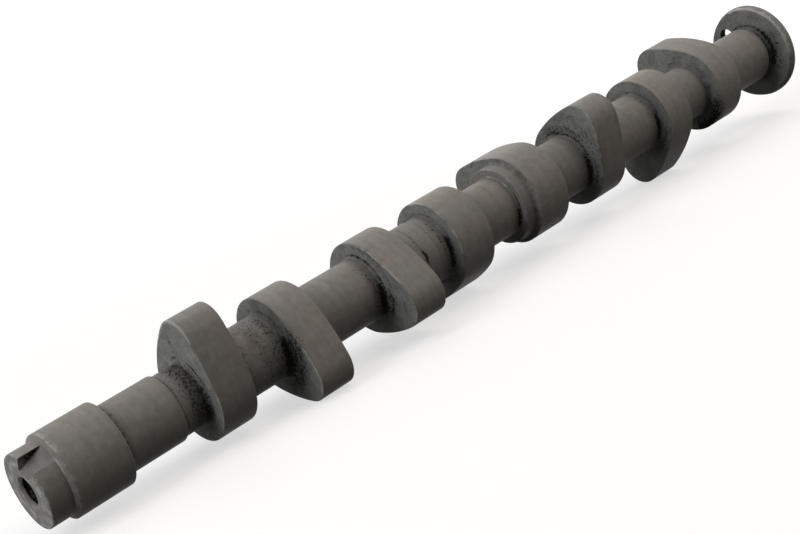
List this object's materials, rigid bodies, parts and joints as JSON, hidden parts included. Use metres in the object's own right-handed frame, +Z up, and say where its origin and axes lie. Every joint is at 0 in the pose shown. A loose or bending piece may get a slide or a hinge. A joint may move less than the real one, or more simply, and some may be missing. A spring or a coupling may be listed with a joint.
{
  "type": "camshaft",
  "caption": "One-piece cast camshaft: cam lobes and bearing journals along a shaft, with a slotted pulley nose and a drilled rear flange, for an overhead-cam engine.",
  "frame": {"origin": "centre of the nose face, on the shaft axis", "axes": "+Z up; +X from the nose towards the rear flange along the floor, with the shaft axis climbing 1.68 degrees from it because the shaft lies on the tips of three lobes; +Y to the left seen from the nose"},
  "size_m": [0.4304, 0.061, 0.0568],
  "materials": {
    "camshaft_iron": "ground satin on lobes, journals and collar, as cast and pitted on the necks and lobe sides"
  },
  "bodies": {
    "root": {"camshaft": "camshaft_iron"}
  },
  "joints": []
}
